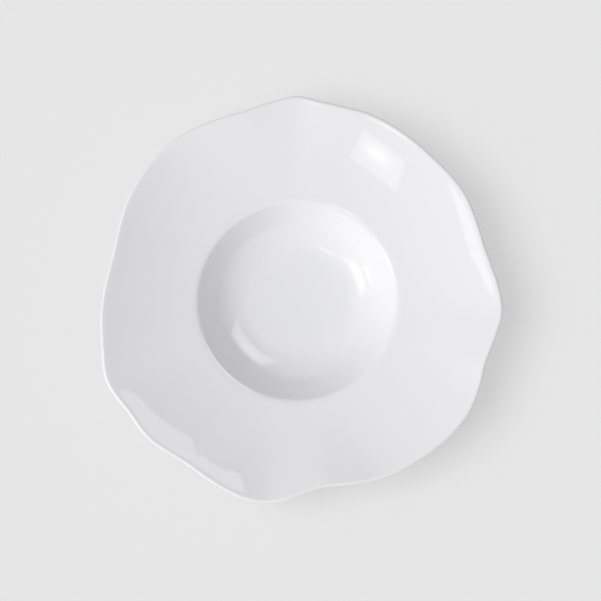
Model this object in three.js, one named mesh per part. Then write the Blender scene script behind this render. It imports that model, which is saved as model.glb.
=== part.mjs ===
// Pasta plate of white porcelain: a deep round well, a broad rising rim with a wavy edge, and a foot ring.
// The plate is one fired body under a fused glaze. The glaze covers all of it but the ground foot ring, so
// it falls into two coats: the one over the top, the lip and the underside, and the one inside the foot.
// Millimetres, +Z up. The foot ring stands on z = 0, and the origin is below the middle of the outline.

import * as THREE from 'three';
import { mergeGeometries } from 'three/addons/utils/BufferGeometryUtils.js';

// Well: a flat floor, a round bend, then a wall that steepens a little on its way up to the brim.
const floorRadius = 36;
const wellCurve = 35.5;
const bendSlope = THREE.MathUtils.degToRad(44);
const wallCurve = 140;
const wallSlope = THREE.MathUtils.degToRad(50);

// Brim: the rounded shoulder where the wall of the well turns over into the rim, and the hollow under it.
const underBrimRound = 4.3;
const brimSlope = THREE.MathUtils.degToRad(7.2);

// Rim: a shallow upward sweep out to a rounded lip.
const rimRadius = 144.5;
const rimCurve = 440;

// Thicknesses of the fired body, and of the glaze on it.
const floorThickness = 5;
const wallThickness = 4.2;
const lipThickness = 3;
const glazeThickness = 0.35;

// Foot ring: a turned ring with a flat ground face, and a shallow recess inside it.
const footRadius = 47;
const footWidth = 6;
const recessDepth = 3;
const footEdgeRound = 0.8;
const footOuterFillet = 3;
const footInnerFillet = 1.2;
const glazeLineHeight = 1.4;

// The well and the foot share an axis, which lies a little off the middle of the wavy outline.
const wellAxis = { x: -3.6, y: -1.3 };

// Edge of the rim, by angle in degrees from +X towards +Y: how far it stands out past the rim's radius,
// and how far the rim is lifted there. Lobes reach out and dip, and the bays between them are raised.
const edgeWaves = [
  { angle: 6, out: 1.9, up: 1.6 },
  { angle: 10, out: -0.2, up: 2.1 },
  { angle: 17, out: -2.2, up: 2.6 },
  { angle: 33, out: 0.5, up: 2.0 },
  { angle: 47, out: -0.4, up: 1.0 },
  { angle: 68, out: 1.7, up: 0.1 },
  { angle: 77, out: 1.0, up: 0.6 },
  { angle: 83, out: 1.8, up: 0.2 },
  { angle: 90, out: 4.5, up: -0.9 },
  { angle: 97, out: 1.5, up: -0.1 },
  { angle: 106, out: -1.2, up: 0.8 },
  { angle: 130, out: 2.8, up: -2.0 },
  { angle: 147, out: -0.3, up: 0.3 },
  { angle: 165, out: -6.4, up: 3.2 },
  { angle: 184, out: -1.9, up: 2.5 },
  { angle: 193, out: 1.0, up: 1.4 },
  { angle: 203, out: 5.6, up: -0.6 },
  { angle: 213, out: 2.3, up: 2.0 },
  { angle: 223, out: 2.3, up: 2.8 },
  { angle: 231, out: -0.7, up: 3.2 },
  { angle: 235, out: -1.5, up: 2.6 },
  { angle: 239, out: -1.1, up: 2.8 },
  { angle: 248, out: 1.7, up: 2.4 },
  { angle: 256, out: 4.2, up: 0.2 },
  { angle: 262, out: 3.3, up: -0.6 },
  { angle: 268, out: -1.0, up: 0.9 },
  { angle: 273, out: -5.3, up: 2.3 },
  { angle: 279, out: -8.2, up: 3.3 },
  { angle: 287, out: -5.7, up: 1.9 },
  { angle: 296, out: -1.6, up: -0.2 },
  { angle: 308, out: 1.3, up: -0.8 },
  { angle: 326, out: 4.9, up: -0.8 },
  { angle: 335, out: 2.6, up: -0.1 },
  { angle: 342, out: 0.1, up: 1.1 },
  { angle: 350, out: 2.6, up: 0.4 },
  { angle: 357, out: 5.4, up: -0.4 },
];
// The lift grows from nothing at the brim to its full height at the edge with this power of the distance.
const liftPower = 1.5;

// Facets: steps round the axis, and along each stretch of the profile.
const turns = 63;
const steps = { well: 4, wall: 1, brim: 4, rim: 5, lip: 4, underWell: 2, fillet: 2, footEdge: 1 };

// Heights and radii that follow from the sizes above.
const floorTop = recessDepth + floorThickness;
const wellCentre = floorTop + wellCurve;
const brimRound = underBrimRound + wallThickness;
const wallAxis = floorRadius - (wallCurve - wellCurve) * Math.sin(bendSlope);
const wallCentre = wellCentre + (wallCurve - wellCurve) * Math.cos(bendSlope);
const wallTopRadius = wallAxis + wallCurve * Math.sin(wallSlope);
const wallTop = wallCentre - wallCurve * Math.cos(wallSlope);
const brimAxis = wallTopRadius + brimRound * Math.sin(wallSlope);
const brimCentre = wallTop - brimRound * Math.cos(wallSlope);
const rimStart = wallTopRadius + brimRound * (Math.sin(wallSlope) - Math.sin(brimSlope));
const rimStartHeight = wallTop + brimRound * (Math.cos(brimSlope) - Math.cos(wallSlope));
const footInnerRadius = footRadius - footWidth;
const lipRound = lipThickness / 2;
const lipCentreRadius = rimRadius - glazeThickness - lipRound;
const lipRun = lipCentreRadius - rimStart + rimCurve * Math.sin(brimSlope);
const lipSlope = Math.asin(lipRun / (rimCurve + lipRound));

// Height of the smooth rim above its start, at any radius.
function rimRise(radius) {
  const sine = Math.sin(brimSlope) + (radius - rimStart) / rimCurve;
  return rimCurve * (Math.cos(brimSlope) - Math.sqrt(1 - sine * sine));
}

// A point of the profile, with the direction its surface faces: 0 is outwards from the axis, 90 degrees is up.
function profilePoint(radius, height, facing) {
  return { radius, height, facing };
}

// Points along an arc about a centre, from one facing to another. An arc that is hollow seen from outside
// the clay has its surface facing its centre, which bend -1 says. The first point is left out on request.
function arc(centreRadius, centreHeight, size, from, to, count, bend = 1, first = 0) {
  const points = [];
  for (let i = first; i <= count; i += 1) {
    const facing = from + ((to - from) * i) / count;
    const radius = centreRadius + bend * size * Math.cos(facing);
    const height = centreHeight + bend * size * Math.sin(facing);
    points.push(profilePoint(radius, height, facing));
  }
  return points;
}

const up = Math.PI / 2;
const down = -Math.PI / 2;
const outwards = 0;
const inwards = -Math.PI;

// Top of the plate from the lip inwards to the axis: rim, brim, wall, bend and floor.
function topProfile() {
  const rimCentre = rimStartHeight + rimCurve * Math.cos(brimSlope);
  const rimAxis = rimStart - rimCurve * Math.sin(brimSlope);
  return [
    ...arc(rimAxis, rimCentre, rimCurve, up + lipSlope, up + brimSlope, steps.rim, -1, 1),
    ...arc(brimAxis, brimCentre, brimRound, up + brimSlope, up + wallSlope, steps.brim, 1, 1),
    ...arc(wallAxis, wallCentre, wallCurve, up + wallSlope, up + bendSlope, steps.wall, -1, 1),
    ...arc(floorRadius, wellCentre, wellCurve, up + bendSlope, up, steps.well, -1, 1),
    profilePoint(0, floorTop, up),
  ];
}

// The rounded lip, from its underside to its top.
function lipProfile() {
  const centreRise = rimRise(lipCentreRadius - lipRound * Math.sin(lipSlope));
  const centre = rimStartHeight + centreRise - lipRound * Math.cos(lipSlope);
  return arc(lipCentreRadius, centre, lipRound, down + lipSlope, up + lipSlope, steps.lip);
}

// Underside from the foot ring out to the lip: the fillet at the foot, the bend and the wall, the turn under
// the brim, and the rim, whose thickness tapers from the wall's to the lip's.
function undersideProfile() {
  const underCurve = wellCurve + wallThickness;
  const underWall = wallCurve + wallThickness;
  const filletRadius = footRadius + footOuterFillet;
  const filletReach = underCurve + footOuterFillet;
  const filletSlope = Math.asin((filletRadius - floorRadius) / filletReach);
  const filletCentre = wellCentre - filletReach * Math.cos(filletSlope);
  const rim = [];
  for (let i = 1; i < steps.rim; i += 1) {
    const share = i / steps.rim;
    const slope = brimSlope + (lipSlope - brimSlope) * share;
    const thickness = wallThickness + (lipThickness - wallThickness) * share;
    const topRadius = rimStart + rimCurve * (Math.sin(slope) - Math.sin(brimSlope));
    const topHeight = rimStartHeight + rimRise(topRadius);
    const radius = topRadius + thickness * Math.sin(slope);
    const height = topHeight - thickness * Math.cos(slope);
    rim.push(profilePoint(radius, height, down + slope));
  }
  return [
    ...arc(filletRadius, filletCentre, footOuterFillet, outwards, down + filletSlope, steps.fillet, -1),
    ...arc(floorRadius, wellCentre, underCurve, down + filletSlope, down + bendSlope, steps.underWell, 1, 1),
    ...arc(wallAxis, wallCentre, underWall, down + bendSlope, down + wallSlope, steps.wall, 1, 1),
    ...arc(brimAxis, brimCentre, underBrimRound, down + wallSlope, down + brimSlope, steps.brim, -1, 1),
    ...rim,
  ];
}

// The recess inside the foot ring, from the axis out to the glaze line on the ring's inner wall. The fillet
// in its corner ends above the glaze line.
function recessProfile() {
  const fillet = Math.min(footInnerFillet, recessDepth - glazeLineHeight - glazeThickness);
  return [
    profilePoint(0, recessDepth, down),
    ...arc(footInnerRadius - fillet, recessDepth - fillet, fillet, down, inwards, steps.fillet, -1),
    profilePoint(footInnerRadius, glazeLineHeight, inwards),
  ];
}

// The bare, ground foot ring between the two glaze lines.
function footProfile() {
  const innerEdge = footInnerRadius + footEdgeRound;
  const outerEdge = footRadius - footEdgeRound;
  return [
    ...arc(innerEdge, footEdgeRound, footEdgeRound, inwards, down, steps.footEdge),
    ...arc(outerEdge, footEdgeRound, footEdgeRound, down, outwards, steps.footEdge),
  ];
}

const glazedOutside = [
  profilePoint(footRadius, glazeLineHeight, outwards),
  ...undersideProfile(),
  ...lipProfile(),
  ...topProfile(),
];
const glazedRecess = recessProfile();
const bodyProfile = [...glazedRecess, ...footProfile(), ...glazedOutside];

// One smooth closed curve through the edge's values: between two neighbours a cubic whose slope at each is
// that of the line through the two values on either side of it.
function edgeValue(name, angle) {
  const count = edgeWaves.length;
  const wave = (index) => {
    const lap = Math.floor(index / count);
    const entry = edgeWaves[index - lap * count];
    return { angle: entry.angle + lap * 360, value: entry[name] };
  };
  const slopeAt = (index) => {
    const before = wave(index - 1);
    const after = wave(index + 1);
    return (after.value - before.value) / (after.angle - before.angle);
  };
  const degrees = THREE.MathUtils.euclideanModulo(THREE.MathUtils.radToDeg(angle), 360);
  const next = edgeWaves.findIndex((entry) => entry.angle > degrees);
  const index = (next < 0 ? count : next) - 1;
  const start = wave(index);
  const end = wave(index + 1);
  const span = end.angle - start.angle;
  const share = (degrees - start.angle) / span;
  const rest = 1 - share;
  const fromStart = rest * rest * (start.value * (1 + 2 * share) + span * slopeAt(index) * share);
  const fromEnd = share * share * (end.value * (1 + 2 * rest) - span * slopeAt(index + 1) * rest);
  return fromStart + fromEnd;
}

// Stretches the rim to its wavy edge: a point keeps its share of the way from the brim to the edge, rides
// up or down the smooth rim as it moves, and takes its part of the lift.
function waveRim(geometry) {
  const positions = geometry.attributes.position;
  const rimWidth = rimRadius - rimStart;
  for (let i = 0; i < positions.count; i += 1) {
    const x = positions.getX(i);
    const y = positions.getY(i);
    const radius = Math.hypot(x, y);
    const share = (radius - rimStart) / rimWidth;
    if (share > 0) {
      const angle = Math.atan2(y, x);
      const wavedRadius = radius + share * edgeValue('out', angle);
      const lift = edgeValue('up', angle) * share ** liftPower;
      const height = positions.getZ(i) + rimRise(wavedRadius) - rimRise(radius) + lift;
      positions.setXYZ(i, (x * wavedRadius) / radius, (y * wavedRadius) / radius, height);
    }
  }
}

// Turns a profile about the axis, at a distance out from its own surface, and waves its rim.
function turn(profile, distance = 0) {
  const points = profile.map(({ radius, height, facing }) => new THREE.Vector2(
    radius === 0 ? 0 : radius + distance * Math.cos(facing),
    height + distance * Math.sin(facing),
  ));
  const geometry = new THREE.LatheGeometry(points, turns);
  geometry.rotateX(up);
  waveRim(geometry);
  return geometry;
}

// Turns the faces of a surface the other way.
function reversed(geometry) {
  const index = geometry.index;
  for (let i = 0; i < index.count; i += 3) {
    const second = index.getX(i + 1);
    index.setX(i + 1, index.getX(i + 2));
    index.setX(i + 2, second);
  }
  return geometry;
}

// The narrow edge of a coat at its glaze line, between its inner and its outer surface.
function glazeLine({ radius, height, facing }, from, to) {
  const edge = [from, to].map((distance) => profilePoint(radius + distance * Math.cos(facing), height, facing));
  return turn(edge);
}

// A coat of glaze: the outer surface, the surface that lies on the body, and the edge at the glaze line.
function coat(profile, edge) {
  return mergeGeometries([turn(profile, glazeThickness), reversed(turn(profile)), edge]);
}

// A finished piece with its own material.
function piece(name, geometry, color, roughness) {
  const material = new THREE.MeshStandardMaterial({ color, roughness, metalness: 0 });
  const mesh = new THREE.Mesh(geometry, material);
  mesh.name = name;
  return mesh;
}

const outsideEdge = glazeLine(glazedOutside[0], 0, glazeThickness);
const recessEdge = glazeLine(glazedRecess[glazedRecess.length - 1], glazeThickness, 0);

const plate = new THREE.Group();
plate.position.set(wellAxis.x, wellAxis.y, 0);
plate.add(piece('porcelain_body', turn(bodyProfile), '#e9e6df', 0.75));
plate.add(piece('glaze_coat', coat(glazedOutside, outsideEdge), '#f2f2f3', 0.08));
plate.add(piece('foot_recess_glaze', coat(glazedRecess, recessEdge), '#f2f2f3', 0.1));

export default plate;
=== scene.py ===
# %% [markdown]
# # A white pasta plate
#
# The plate is one fired porcelain body under a fused glaze. It has a deep round well, a broad rim that
# rises to an irregular wavy edge, and a turned foot ring that is ground bare where it meets the table.
# The construction model already holds these forms at their real size, with flat facets. Here each piece
# is worked out again as a fine smooth surface with a finer brim, and gets its glaze or its bare clay.
#
# We load the construction model first. It is the frame that every piece has to fit.

# %% Load the frame
import bpy
import numpy as np
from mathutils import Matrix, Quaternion, Vector


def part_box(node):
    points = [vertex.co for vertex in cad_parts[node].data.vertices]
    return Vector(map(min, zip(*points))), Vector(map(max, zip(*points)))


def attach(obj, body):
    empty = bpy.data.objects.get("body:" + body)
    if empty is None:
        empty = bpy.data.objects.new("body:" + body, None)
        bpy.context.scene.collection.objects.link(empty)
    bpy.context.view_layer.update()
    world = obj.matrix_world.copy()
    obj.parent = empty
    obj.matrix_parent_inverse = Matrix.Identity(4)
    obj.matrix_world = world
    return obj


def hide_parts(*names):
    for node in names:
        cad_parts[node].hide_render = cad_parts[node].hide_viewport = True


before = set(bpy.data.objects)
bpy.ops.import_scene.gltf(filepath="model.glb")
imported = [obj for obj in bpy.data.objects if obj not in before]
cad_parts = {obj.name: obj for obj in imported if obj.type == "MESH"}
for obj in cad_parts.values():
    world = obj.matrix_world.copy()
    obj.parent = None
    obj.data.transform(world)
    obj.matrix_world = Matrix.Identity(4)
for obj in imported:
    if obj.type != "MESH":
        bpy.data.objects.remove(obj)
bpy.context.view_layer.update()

# %% [markdown]
# ## Sizes of the plate
#
# These are the driving sizes of the real plate, in metres. A potter would draw half of the cross-section:
# a flat floor, a round bend, a wall that steepens a little, a brim, and the shallow sweep of the rim. The
# brim is tight where it leaves the wall and eases into the rim, so a light mirrored in it is a thin line.
# The axis of the well and foot isn't quite in the middle of the wavy outline. We read it from the frame:
# the glaze inside the foot ring is round, so its box is centred on that axis.

# %% Driving sizes
MM = 0.001
FLOOR_RADIUS = 36 * MM
WELL_CURVE = 35.5 * MM
BEND_SLOPE = np.radians(44)
WALL_CURVE = 150 * MM
WALL_SLOPE = np.radians(50)
BRIM_ROUND = 5.5 * MM
EASE_SLOPE = np.radians(14)
EASE_ROUND = 29 * MM
BRIM_SLOPE = np.radians(7.4)
RIM_RADIUS = 144.5 * MM
RIM_CURVE = 440 * MM
FLOOR_THICKNESS = 5 * MM
WALL_THICKNESS = 4.2 * MM
LIP_THICKNESS = 3 * MM
GLAZE_THICKNESS = 0.35 * MM
FOOT_RADIUS = 47 * MM
FOOT_WIDTH = 6 * MM
RECESS_DEPTH = 3 * MM
FOOT_EDGE_ROUND = 0.8 * MM
FOOT_OUTER_FILLET = 3 * MM
FOOT_INNER_FILLET = 1.2 * MM
GLAZE_LINE_HEIGHT = 1.4 * MM

recess_low, recess_high = (np.array(corner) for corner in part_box("foot_recess_glaze"))
well_axis = (recess_low + recess_high)[:2] / 2
print("axis of the well and foot, mm:", np.round(well_axis / MM, 2))

# %% Sizes that follow from them
floor_top = RECESS_DEPTH + FLOOR_THICKNESS
well_centre = floor_top + WELL_CURVE
wall_axis = FLOOR_RADIUS - (WALL_CURVE - WELL_CURVE) * np.sin(BEND_SLOPE)
wall_centre = well_centre + (WALL_CURVE - WELL_CURVE) * np.cos(BEND_SLOPE)
wall_top_radius = wall_axis + WALL_CURVE * np.sin(WALL_SLOPE)
wall_top = wall_centre - WALL_CURVE * np.cos(WALL_SLOPE)
brim_axis = wall_top_radius + BRIM_ROUND * np.sin(WALL_SLOPE)
brim_centre = wall_top - BRIM_ROUND * np.cos(WALL_SLOPE)
ease_axis = brim_axis + (EASE_ROUND - BRIM_ROUND) * np.sin(EASE_SLOPE)
ease_centre = brim_centre - (EASE_ROUND - BRIM_ROUND) * np.cos(EASE_SLOPE)
rim_start = ease_axis - EASE_ROUND * np.sin(BRIM_SLOPE)
rim_start_height = ease_centre + EASE_ROUND * np.cos(BRIM_SLOPE)
foot_inner_radius = FOOT_RADIUS - FOOT_WIDTH
lip_round = LIP_THICKNESS / 2
lip_radius = RIM_RADIUS - GLAZE_THICKNESS - lip_round
lip_run = lip_radius - rim_start + RIM_CURVE * np.sin(BRIM_SLOPE)
lip_slope = np.arcsin(lip_run / (RIM_CURVE + lip_round))
print("well across at the brim, mm:", round(2 * rim_start / MM, 1))
print("slope of the rim at the lip, degrees:", round(float(np.degrees(lip_slope)), 1))

# %% [markdown]
# ## The wavy edge
#
# On the real plate the rim is pressed in a mould with an irregular edge: it reaches out in lobes and is
# drawn in between them, and it lifts and dips a little as it goes round. A noise texture could make some
# wavy edge, but not this one. So we note the edge at the angles where it turns, and run one smooth closed
# curve through the notes. Each row gives the angle in degrees from +X towards +Y, how far the edge stands
# out past the rim's radius, and how far it is lifted, in millimetres.

# %% Notes on the edge
EDGE_WAVES = np.array([
    (6, 1.9, 1.6), (10, -0.2, 2.1), (17, -2.2, 2.6), (33, 0.5, 2.0), (47, -0.4, 1.0), (68, 1.7, 0.1),
    (77, 1.0, 0.6), (83, 1.8, 0.2), (90, 4.5, -0.9), (97, 1.5, -0.1), (106, -1.2, 0.8), (130, 2.8, -2.0),
    (147, -0.3, 0.3), (165, -6.4, 3.2), (184, -1.9, 2.5), (193, 1.0, 1.4), (203, 5.6, -0.6),
    (213, 2.3, 2.0), (223, 2.3, 2.8), (231, -0.7, 3.2), (235, -1.5, 2.6), (239, -1.1, 2.8),
    (248, 1.7, 2.4), (256, 4.2, 0.2), (262, 3.3, -0.6), (268, -1.0, 0.9), (273, -5.3, 2.3),
    (279, -8.2, 3.3), (287, -5.7, 1.9), (296, -1.6, -0.2), (308, 1.3, -0.8), (326, 4.9, -0.8),
    (335, 2.6, -0.1), (342, 0.1, 1.1), (350, 2.6, 0.4), (357, 5.4, -0.4),
])
OUT, UP = 1, 2
LIFT_POWER = 1.5


def edge_value(column, angle):
    """A closed curve through the notes. Between two notes it is a cubic, whose slope at each note is that
    of the line through the notes on either side of it."""
    notes = np.concatenate([EDGE_WAVES[-2:] - (360, 0, 0), EDGE_WAVES, EDGE_WAVES[:2] + (360, 0, 0)])
    place, value = notes[:, 0], notes[:, column] * MM
    slope = np.zeros_like(value)
    slope[1:-1] = (value[2:] - value[:-2]) / (place[2:] - place[:-2])
    degrees = np.degrees(angle) % 360
    start = np.searchsorted(place, degrees, side="right") - 1
    span = place[start + 1] - place[start]
    share = (degrees - place[start]) / span
    rest = 1 - share
    from_start = rest**2 * (value[start] * (1 + 2 * share) + span * slope[start] * share)
    from_end = share**2 * (value[start + 1] * (1 + 2 * rest) - span * slope[start + 1] * rest)
    return from_start + from_end


def rim_rise(radius):
    """Height of the smooth rim above its start: an arc of the rim's curve, as a function of radius."""
    sine = np.sin(BRIM_SLOPE) + (radius - rim_start) / RIM_CURVE
    return RIM_CURVE * (np.cos(BRIM_SLOPE) - np.sqrt(1 - sine**2))


def wave_rim(radius, height, angle):
    """Stretches the rim to its wavy edge. A point keeps its share of the way from the brim to the edge,
    rides up or down the smooth rim as it moves, and takes the lift times a power of that share."""
    share = np.clip((radius - rim_start) / (RIM_RADIUS - rim_start), 0, None)
    waved = radius + share * edge_value(OUT, angle)
    beyond = np.maximum(radius, rim_start)
    rise = rim_rise(np.maximum(waved, rim_start)) - rim_rise(beyond)
    return waved, height + rise + edge_value(UP, angle) * share**LIFT_POWER


for label, column in (("out", OUT), ("up", UP)):
    waves = edge_value(column, np.radians(np.arange(360))) / MM
    print("edge", label, "mm:", round(waves.min(), 1), "to", round(waves.max(), 1))

# %% [markdown]
# ## The cross-section
#
# The stretches of the section are arcs and straight lines that meet without a corner, as a turned or
# pressed section does. A point of it carries the direction that its surface faces, because the glaze is the
# same section moved out along that direction. Facing 0 is away from the axis, and a quarter turn is up.
# Each stretch has the number of steps it is cut into: more where it bends and mirrors a light.

# %% Arcs of the section
UPWARD, DOWNWARD, OUTWARD, INWARD = np.pi / 2, -np.pi / 2, 0.0, -np.pi


def arc(axis, level, size, start, end, count, bend=1):
    """Points on an arc: its centre plus the size times the cosine and sine of a facing that runs evenly
    from start to end. A bend of -1 takes the far side, for a hollow that faces its centre."""
    facing = np.linspace(start, end, count + 1)
    radius = axis + bend * size * np.cos(facing)
    height = level + bend * size * np.sin(facing)
    return np.column_stack([radius, height, facing])


def line(start, end, facing, count):
    """Points spread evenly on a straight stretch, all with one facing."""
    share = np.linspace(0, 1, count + 1)[:, None]
    points = np.array(start) * (1 - share) + np.array(end) * share
    return np.column_stack([points, np.full(count + 1, facing)])


def join(*stretches):
    """One section from stretches that meet end to start: the shared points are kept once."""
    return np.concatenate([stretches[0]] + [stretch[1:] for stretch in stretches[1:]])


def moved_out(section, distance):
    """The section moved along its facing. Points on the axis stay on it."""
    radius = np.where(section[:, 0] > 0, section[:, 0] + distance * np.cos(section[:, 2]), 0)
    height = section[:, 1] + distance * np.sin(section[:, 2])
    return np.column_stack([radius, height, section[:, 2]])


# %% The underside, the lip and the top
UNDER_RIM_STEPS = 12


def underside_section():
    """From the glaze line on the foot up its wall and fillet, along the wall, under the brim and rim."""
    under_curve = WELL_CURVE + WALL_THICKNESS
    fillet_axis = FOOT_RADIUS + FOOT_OUTER_FILLET
    fillet_reach = under_curve + FOOT_OUTER_FILLET
    fillet_slope = np.arcsin((fillet_axis - FLOOR_RADIUS) / fillet_reach)
    fillet_level = well_centre - fillet_reach * np.cos(fillet_slope)
    share = np.linspace(0, 1, UNDER_RIM_STEPS + 1)
    slope = BRIM_SLOPE + (lip_slope - BRIM_SLOPE) * share
    thickness = WALL_THICKNESS + (LIP_THICKNESS - WALL_THICKNESS) * share
    top_radius = rim_start + RIM_CURVE * (np.sin(slope) - np.sin(BRIM_SLOPE))
    top_height = rim_start_height + rim_rise(top_radius)
    under_rim = np.column_stack([
        top_radius + thickness * np.sin(slope), top_height - thickness * np.cos(slope), DOWNWARD + slope])
    under_wall = WALL_CURVE + WALL_THICKNESS
    under_brim, under_ease = BRIM_ROUND - WALL_THICKNESS, EASE_ROUND - WALL_THICKNESS
    return join(
        line((FOOT_RADIUS, GLAZE_LINE_HEIGHT), (FOOT_RADIUS, fillet_level), OUTWARD, 2),
        arc(fillet_axis, fillet_level, FOOT_OUTER_FILLET, OUTWARD, DOWNWARD + fillet_slope, 6, -1),
        arc(FLOOR_RADIUS, well_centre, under_curve, DOWNWARD + fillet_slope, DOWNWARD + BEND_SLOPE, 8),
        arc(wall_axis, wall_centre, under_wall, DOWNWARD + BEND_SLOPE, DOWNWARD + WALL_SLOPE, 4),
        arc(brim_axis, brim_centre, under_brim, DOWNWARD + WALL_SLOPE, DOWNWARD + EASE_SLOPE, 5, -1),
        arc(ease_axis, ease_centre, under_ease, DOWNWARD + EASE_SLOPE, DOWNWARD + BRIM_SLOPE, 3, -1),
        under_rim)


def lip_section():
    """The rounded lip: half a circle from the underside of the rim to its top."""
    top_radius = lip_radius - lip_round * np.sin(lip_slope)
    level = rim_start_height + rim_rise(top_radius) - lip_round * np.cos(lip_slope)
    return arc(lip_radius, level, lip_round, DOWNWARD + lip_slope, UPWARD + lip_slope, 12)


def top_section():
    """From the lip inwards: the sweep of the rim, the brim, the wall of the well and its floor."""
    rim_level = rim_start_height + RIM_CURVE * np.cos(BRIM_SLOPE)
    rim_axis = rim_start - RIM_CURVE * np.sin(BRIM_SLOPE)
    return join(
        arc(rim_axis, rim_level, RIM_CURVE, UPWARD + lip_slope, UPWARD + BRIM_SLOPE, 24, -1),
        arc(ease_axis, ease_centre, EASE_ROUND, UPWARD + BRIM_SLOPE, UPWARD + EASE_SLOPE, 6),
        arc(brim_axis, brim_centre, BRIM_ROUND, UPWARD + EASE_SLOPE, UPWARD + WALL_SLOPE, 12),
        arc(wall_axis, wall_centre, WALL_CURVE, UPWARD + WALL_SLOPE, UPWARD + BEND_SLOPE, 6, -1),
        arc(FLOOR_RADIUS, well_centre, WELL_CURVE, UPWARD + BEND_SLOPE, UPWARD, 22, -1),
        line((FLOOR_RADIUS, floor_top), (0, floor_top), UPWARD, 3))


# %% The foot ring and its recess
def recess_section():
    """From the axis out under the floor, round the fillet and down to the glaze line inside the foot."""
    axis, level = foot_inner_radius - FOOT_INNER_FILLET, RECESS_DEPTH - FOOT_INNER_FILLET
    return join(
        line((0, RECESS_DEPTH), (axis, RECESS_DEPTH), DOWNWARD, 5),
        arc(axis, level, FOOT_INNER_FILLET, DOWNWARD, INWARD, 8, -1),
        line((foot_inner_radius, level), (foot_inner_radius, GLAZE_LINE_HEIGHT), INWARD, 2))


def foot_section():
    """The bare ring between the two glaze lines, with its flat ground face and rounded edges."""
    inner, outer = foot_inner_radius + FOOT_EDGE_ROUND, FOOT_RADIUS - FOOT_EDGE_ROUND
    return join(
        line((foot_inner_radius, GLAZE_LINE_HEIGHT), (foot_inner_radius, FOOT_EDGE_ROUND), INWARD, 2),
        arc(inner, FOOT_EDGE_ROUND, FOOT_EDGE_ROUND, INWARD, DOWNWARD, 6),
        line((inner, 0), (outer, 0), DOWNWARD, 4),
        arc(outer, FOOT_EDGE_ROUND, FOOT_EDGE_ROUND, DOWNWARD, OUTWARD, 6),
        line((FOOT_RADIUS, FOOT_EDGE_ROUND), (FOOT_RADIUS, GLAZE_LINE_HEIGHT), OUTWARD, 2))


glazed_outside = join(underside_section(), lip_section(), top_section())
glazed_recess = recess_section()
whole_body = join(glazed_recess, foot_section(), glazed_outside)
print("points on the section:", len(whole_body))

# %% [markdown]
# ## Turning a section into a surface
#
# A section with both ends on the axis sweeps out a closed surface. Blender's Screw modifier could turn it,
# but the rim isn't round, so we compute the whole grid of points at once: one row for each point of the
# section, one column for each step round the axis. The rows at the two ends shrink to a single point each,
# which closes the poles, and the last column joins the first, which closes the seam.

# %% Grid and mesh
GLAZE_COLUMNS, RECESS_COLUMNS, BODY_COLUMNS = 380, 240, 360
BEAD_STEPS = 6


def turned_piece(name, section, columns):
    """The surface at (i, j): section point i turned to angle j, with its rim waved, about the well's axis.
    Both ends of the section lie on the axis. The section runs so that the faces look outwards."""
    angle = np.linspace(0, 2 * np.pi, columns, endpoint=False)
    radius, height = wave_rim(section[1:-1, :1], section[1:-1, 1:2], angle[None, :])
    rows = len(section) - 2
    ring = np.stack([radius * np.cos(angle), radius * np.sin(angle), height + 0 * angle], axis=-1)
    first = [[0, 0, section[0, 1]]]
    last = [[0, 0, section[-1, 1]]]
    points = np.concatenate([first, ring.reshape(-1, 3), last]) + (*well_axis, 0)
    here = np.arange(columns)
    after = (here + 1) % columns
    base = 1 + columns * np.arange(rows - 1)[:, None]
    quads = np.stack([base + here, base + after, base + columns + after, base + columns + here], axis=-1)
    end = 1 + columns * (rows - 1)
    pole = np.zeros_like(here)
    first_fan = np.stack([pole, 1 + after, 1 + here], axis=-1)
    last_fan = np.stack([pole + len(points) - 1, end + here, end + after], axis=-1)
    faces = quads.reshape(-1, 4).tolist() + first_fan.tolist() + last_fan.tolist()
    mesh = bpy.data.meshes.new(name)
    mesh.from_pydata(points.tolist(), [], faces)
    mesh.polygons.foreach_set("use_smooth", np.ones(len(faces), dtype=bool))
    mesh.update()
    piece = bpy.data.objects.new(name, mesh)
    bpy.context.scene.collection.objects.link(piece)
    print(name, "faces:", len(faces))
    return piece


def coat_section(section):
    """A coat of glaze as one closed loop: along the body from the axis to the glaze line, round a small
    bead, and back along the outer surface to the axis."""
    edge = section[0]
    half = GLAZE_THICKNESS / 2
    centre = edge[0] + half * np.cos(edge[2]), edge[1]
    turn = np.linspace(0, 1, BEAD_STEPS + 1)[:, None]
    bead = np.column_stack([
        centre[0] - half * np.cos(np.pi * turn) * np.cos(edge[2]),
        centre[1] - half * np.sin(np.pi * turn),
        np.full_like(turn, edge[2])])
    return join(section[::-1], bead, moved_out(section, GLAZE_THICKNESS))


glaze_coat = turned_piece("glaze_coat_fine", coat_section(glazed_outside), GLAZE_COLUMNS)
recess_loop = coat_section(glazed_recess[::-1])[::-1]
recess_glaze = turned_piece("foot_recess_glaze_fine", recess_loop, RECESS_COLUMNS)
body = turned_piece("porcelain_body_fine", whole_body, BODY_COLUMNS)

# %% [markdown]
# ## Shader arithmetic
#
# Finishes are worked out as sums and products of masks and noises. Wiring Math nodes by hand hides the
# formula, so one small class stands for a value in the node tree: adding or multiplying two of them adds
# the node that does it. Any other node comes from its node method.


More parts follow.
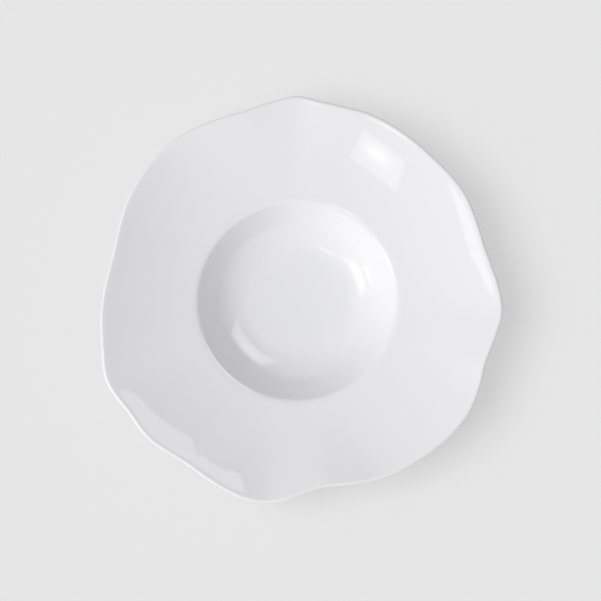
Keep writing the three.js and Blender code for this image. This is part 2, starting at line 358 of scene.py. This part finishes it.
# %% A value in a node tree
class Signal:
    """A socket of a node tree that takes part in Python arithmetic."""

    def __init__(self, socket):
        self.socket = socket
        self.tree = socket.id_data

    def node(self, kind, settings=None, inputs=None, output=0):
        """Adds a node: its settings first, then its inputs by name or number, and gives one output."""
        made = self.tree.nodes.new(kind)
        for key, value in (settings or {}).items():
            setattr(made, key, value)
        for key, value in (inputs or {}).items():
            if isinstance(value, Signal):
                self.tree.links.new(value.socket, made.inputs[key])
            else:
                made.inputs[key].default_value = value
        return Signal(made.outputs[output])

    def math(self, operation, first, second=0.0):
        """One Math node on two values."""
        return self.node("ShaderNodeMath", {"operation": operation}, {0: first, 1: second})

    def distance(self, point):
        """How far this vector is from a point."""
        return self.node("ShaderNodeVectorMath", {"operation": "DISTANCE"}, {0: self, 1: point}, output=1)

    def __add__(self, other):
        return self.math("ADD", self, other)

    def __radd__(self, other):
        return self.math("ADD", other, self)

    def __sub__(self, other):
        return self.math("SUBTRACT", self, other)

    def __rsub__(self, other):
        return self.math("SUBTRACT", other, self)

    def __mul__(self, other):
        return self.math("MULTIPLY", self, other)

    def __rmul__(self, other):
        return self.math("MULTIPLY", other, self)

    def ramp(self, low, high):
        """0 below low, 1 above high, and a smooth step between."""
        inputs = {0: self, 1: low, 2: high, 3: 0.0, 4: 1.0}
        return self.node("ShaderNodeMapRange", {"interpolation_type": "SMOOTHSTEP"}, inputs)

    def noise(self, scale, detail):
        """Soft noise from 0 to 1 at points given by this vector."""
        return self.node("ShaderNodeTexNoise", None, {"Vector": self, "Scale": scale, "Detail": detail})

    def blend(self, low, high):
        """A colour between two colours, by this mask."""
        settings = {"data_type": "RGBA"}
        return self.node("ShaderNodeMix", settings, {0: self, 6: low, 7: high}, output=2)


def new_finish(name):
    """A material with one Principled shader: the shader node and the piece's own coordinates."""
    material = bpy.data.materials.new(name)
    material.use_nodes = True
    shader = material.node_tree.nodes["Principled BSDF"]
    place = material.node_tree.nodes.new("ShaderNodeTexCoord").outputs["Object"]
    return material, shader, Signal(place)


def feed(shader, name, signal):
    """Leads a signal into one socket of the shader."""
    signal.tree.links.new(signal.socket, shader.inputs[name])


def feed_bump(shader, height, strength, distance):
    """Tilts the shader's normal by a height."""
    inputs = {"Strength": strength, "Distance": distance, "Height": height}
    feed(shader, "Normal", height.node("ShaderNodeBump", None, inputs))


# %% [markdown]
# ## Glaze
#
# A clear glaze over white clay is smooth but not perfect: its tone and gloss vary in soft clouds, and its
# surface has a faint long swell that bends the edges of reflections. The floor of the well is painted a
# little darker and cooler, as painted shade. The colour stays close to one white, so all of this is gentle.

# %% Glaze finish
GLAZE_WHITE = (0.858, 0.858, 0.874, 1)
# The darker tone: painted shade on the floor of the well, and the deep end of the clouds of random tone.
GLAZE_SHADE_AND_CLOUD = (0.838, 0.84, 0.858, 1)
GLAZE_IOR = 1.5
# Painted shade on the floor of the well: full within the first radius, gone beyond the second; its share,
# and that of the clouds.
FLOOR_SHADE_INSIDE, FLOOR_SHADE_OUTSIDE = 0.5 * FLOOR_RADIUS, 1.35 * FLOOR_RADIUS
FLOOR_SHADE_SHARE, CLOUD_SHARE = 0.85, 0.4
CLOUD_SCALE, SWELL_SCALE = 28, 60
LEAST_ROUGH, CLOUD_ROUGH = 0.015, 0.03
SWELL_STRENGTH, SWELL_HEIGHT = 0.2, 0.02 * MM


def glaze_finish():
    """White blended towards a darker tone by painted shade, 1 on the floor of the well and fading up its
    bend, plus soft clouds of random tone. The clouds add to the roughness too, and the swell tilts the
    surface."""
    material, shader, place = new_finish("white glaze")
    level = place.node("ShaderNodeVectorMath", {"operation": "MULTIPLY"}, {0: place, 1: (1, 1, 0)})
    # Painted shade: 1 on the floor of the well and fading up its bend, mixed with clouds of random tone.
    low = 1 - level.distance((*well_axis, 0)).ramp(FLOOR_SHADE_INSIDE, FLOOR_SHADE_OUTSIDE)
    cloud = place.noise(CLOUD_SCALE, detail=3)
    shade_and_cloud = low * FLOOR_SHADE_SHARE + (cloud - 0.5) * CLOUD_SHARE
    feed(shader, "Base Color", shade_and_cloud.blend(GLAZE_WHITE, GLAZE_SHADE_AND_CLOUD))
    feed(shader, "Roughness", LEAST_ROUGH + cloud * CLOUD_ROUGH)
    feed_bump(shader, place.noise(SWELL_SCALE, detail=2), SWELL_STRENGTH, SWELL_HEIGHT)
    shader.inputs["IOR"].default_value = GLAZE_IOR
    return material


# %% [markdown]
# ## Bare clay
#
# Where the foot was ground, the fired clay shows: a warmer, matt white with a fine grain and broader
# patches, a little rough to the touch.

# %% Clay finish
CLAY_PALE = (0.74, 0.72, 0.68, 1)
CLAY_WARM = (0.62, 0.59, 0.54, 1)
WARM_START, WARM_FULL = 0.38, 0.7
GRAIN_SCALE, PATCH_SCALE = 2600, 160
CLAY_ROUGH, GRAIN_ROUGH = 0.72, 0.2
GRAIN_STRENGTH, GRAIN_HEIGHT = 0.5, 0.08 * MM


def clay_finish():
    """Pale clay blended towards the warm tone where the mean of grain and patches is high. The grain adds to
    the roughness and tilts the surface."""
    material, shader, place = new_finish("bare porcelain")
    grain = place.noise(GRAIN_SCALE, detail=3)
    patch = place.noise(PATCH_SCALE, detail=3)
    warm = (grain * 0.5 + patch * 0.5).ramp(WARM_START, WARM_FULL)
    feed(shader, "Base Color", warm.blend(CLAY_PALE, CLAY_WARM))
    feed(shader, "Roughness", CLAY_ROUGH + grain * GRAIN_ROUGH)
    feed_bump(shader, grain, GRAIN_STRENGTH, GRAIN_HEIGHT)
    return material


# %% [markdown]
# ## Dressing the pieces
#
# Each fine piece gets its finish and stands for one solid of the construction model, which is hidden behind
# it. The plate has no joints, so all three ride on its one body.

# %% Dress the pieces
glaze = glaze_finish()
clay = clay_finish()
for piece, node, slot, material in (
    (glaze_coat, "glaze_coat", "glaze", glaze),
    (recess_glaze, "foot_recess_glaze", "glaze", glaze),
    (body, "porcelain_body", "porcelain", clay),
):
    piece.data.materials.append(material)
    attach(piece, "root")
    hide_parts(node)
    print(piece.name, "stands for", node, "in", material.name)

# %% [markdown]
# ## Floor
#
# A plain pale sheet, wide enough to fill the view from any side. Its tone is in its colour. A sheet that is
# itself evenly lit shows only part of a shadow, so what the camera and the reflections see of it is blended
# with an even glow of the same tone.

# %% Floor
FLOOR_HALF = 4.0
FLOOR_WHITE = (0.79, 0.79, 0.79, 1)
EVEN_GLOW = 0.62


def pale_floor():
    """A square sheet at height 0. To the camera and to reflections it is a blend of the lit sheet and the
    glow, by the share of the glow. To all other light it is the lit sheet alone."""
    corners = [(-1, -1, 0), (1, -1, 0), (1, 1, 0), (-1, 1, 0)]
    mesh = bpy.data.meshes.new("floor")
    mesh.from_pydata((np.array(corners) * FLOOR_HALF).tolist(), [], [(0, 1, 2, 3)])
    sheet = bpy.data.objects.new("floor", mesh)
    bpy.context.scene.collection.objects.link(sheet)
    material, shader, place = new_finish("pale floor")
    shader.inputs["Base Color"].default_value = FLOOR_WHITE
    shader.inputs["Roughness"].default_value = 1.0
    shader.inputs["Specular IOR Level"].default_value = 0.0
    path = place.tree.nodes.new("ShaderNodeLightPath").outputs
    seen = place.math("MAXIMUM", Signal(path["Is Camera Ray"]), Signal(path["Is Glossy Ray"]))
    glow = place.node("ShaderNodeEmission", None, {"Color": FLOOR_WHITE})
    lit = Signal(shader.outputs[0])
    surface = place.node("ShaderNodeMixShader", None, {0: seen * EVEN_GLOW, 1: lit, 2: glow})
    feed(place.tree.nodes["Material Output"], "Surface", surface)
    mesh.materials.append(material)
    return sheet


floor = pale_floor()
print("floor, m across:", 2 * FLOOR_HALF)

# %% [markdown]
# ## Light
#
# Soft light from all round, broad soft keys from the left, four soft boxes and two dim cards. The glaze
# mirrors the boxes: their outlines bend over the well and the rim and show the form. The keys give the
# shading and stay out of the reflections, and the boxes are only for the reflections. The shadow on the
# sheet lies a little further round than the shading of the plate, so the sheet has a key of its own: light
# linking says which objects a lamp falls on.

# %% World and keys
SKY = 0.413
BACKDROP = FLOOR_WHITE[0]
KEY_SPREAD = np.radians(40)


def toward(azimuth, zenith):
    """The direction at an azimuth from +X towards +Y and an angle from straight up."""
    return Vector((np.cos(azimuth) * np.sin(zenith), np.sin(azimuth) * np.sin(zenith), np.cos(zenith)))


def sky():
    """Even white light from all round. The camera sees the backdrop's tone in its place."""
    world = bpy.data.worlds.new("studio")
    bpy.context.scene.world = world
    world.use_nodes = True
    ground = world.node_tree.nodes["Background"]
    path = world.node_tree.nodes.new("ShaderNodeLightPath").outputs
    seen = Signal(path["Is Camera Ray"])
    level = SKY + seen * (BACKDROP - SKY)
    feed(ground, "Strength", level)
    ground.inputs["Color"].default_value = (1, 1, 1, 1)


def soft_key(name, azimuth, zenith, strength, falls_on):
    """Broad light from one side that falls on these objects alone."""
    lamp = bpy.data.lights.new(name, "SUN")
    lamp.energy = strength
    lamp.angle = KEY_SPREAD
    key = bpy.data.objects.new(name, lamp)
    direction = toward(np.radians(azimuth), np.radians(zenith))
    key.rotation_euler = direction.to_track_quat("Z", "Y").to_euler()
    key.visible_glossy = False
    bpy.context.scene.collection.objects.link(key)
    lit = bpy.data.collections.new(name)
    for thing in falls_on:
        lit.objects.link(thing)
    key.light_linking.receiver_collection = lit
    print(name, "strength:", strength)


sky()
plate = [glaze_coat, recess_glaze, body]
soft_key("high key", azimuth=207, zenith=30, strength=1.383, falls_on=plate)
soft_key("low key", azimuth=209, zenith=65, strength=0.88, falls_on=plate)
soft_key("floor key", azimuth=180, zenith=31, strength=2.15, falls_on=[floor])

# %% Soft boxes
BOX_DISTANCE = 6.0
HOT_PLACE = (0.5, 0.4, 0)


def soft_box(name, azimuth, zeniths, width, edge, hot, reach, turn=0):
    """A rectangle of light far off, square to the line from the plate to its middle. It reaches over a range
    of angles from straight up and is turned about that line, in degrees. Its cloth has one brightness at the
    edge and another at its hot spot, which reaches over a share of it. Its power is brightness times area
    times pi."""
    low, high = np.radians(zeniths)
    middle = toward(np.radians(azimuth), (low + high) / 2)
    lamp = bpy.data.lights.new(name, "AREA")
    lamp.shape = "RECTANGLE"
    lamp.size = width
    lamp.size_y = 2 * BOX_DISTANCE * np.tan((high - low) / 2)
    lamp.energy = edge * lamp.size * lamp.size_y * np.pi
    lamp.use_nodes = True
    cloth = Signal(lamp.node_tree.nodes.new("ShaderNodeNewGeometry").outputs["Parametric"])
    glow = 1 - cloth.distance(HOT_PLACE).ramp(0, reach)
    feed(lamp.node_tree.nodes["Emission"], "Strength", 1 + (hot / edge - 1) * glow)
    box = bpy.data.objects.new(name, lamp)
    box.location = middle * BOX_DISTANCE + Vector((*well_axis, 0))
    facing = middle.to_track_quat("Z", "Y") @ Quaternion((0, 0, 1), np.radians(turn))
    box.rotation_euler = facing.to_euler()
    box.visible_diffuse = False
    bpy.context.scene.collection.objects.link(box)
    print(name, "size, m:", round(lamp.size, 2), round(lamp.size_y, 2))


soft_box("left box", azimuth=203, zeniths=(29.6, 52.5), width=2.5, edge=1.75, hot=5.4, reach=0.45)
soft_box(
    "front left box", azimuth=238.4, zeniths=(19.4, 24.5), width=0.98, edge=1.5, hot=4.3, reach=0.4, turn=2)
soft_box("back right box", azimuth=44, zeniths=(29.2, 59.5), width=3.4, edge=1.8, hot=3.9, reach=0.65)
soft_box("low left box", azimuth=201, zeniths=(64, 74), width=1.1, edge=3.0, hot=9.0, reach=0.42)
soft_box("front right card", azimuth=308, zeniths=(31, 75), width=6.5, edge=0.25, hot=0.85, reach=0.5)
soft_box("back card", azimuth=84, zeniths=(31, 75), width=6.5, edge=0.25, hot=0.75, reach=0.5)

# %% [markdown]
# ## Camera
#
# Straight above the plate, far enough for a long lens, with the top of the picture towards +Y.

# %% Camera
SENSOR_MM = 36
PICTURE_PIXELS = 601
METRES_PER_PIXEL = 0.725 * MM
CAMERA_HEIGHT = 2.0
WELL_PIXEL = (296.2, 300.9)
MIDDLE_PIXEL = 300.0


def overhead_camera():
    """Looks straight down. Its focal length is the sensor's width times the height over the lip, divided by
    the width of the picture there, and it stands where the well's axis falls on its own pixel."""
    lens = bpy.data.cameras.new("overhead")
    lens.sensor_width = SENSOR_MM
    rim_level = rim_start_height + rim_rise(lip_radius)
    lens.lens = SENSOR_MM * CAMERA_HEIGHT / (PICTURE_PIXELS * METRES_PER_PIXEL)
    camera = bpy.data.objects.new("overhead", lens)
    right = (MIDDLE_PIXEL - WELL_PIXEL[0]) * METRES_PER_PIXEL
    back = (WELL_PIXEL[1] - MIDDLE_PIXEL) * METRES_PER_PIXEL
    camera.location = (well_axis[0] + right, well_axis[1] + back, rim_level + CAMERA_HEIGHT)
    bpy.context.scene.collection.objects.link(camera)
    bpy.context.scene.camera = camera
    print("focal length, mm:", round(lens.lens, 1))


overhead_camera()
bpy.context.scene.view_settings.view_transform = "Standard"
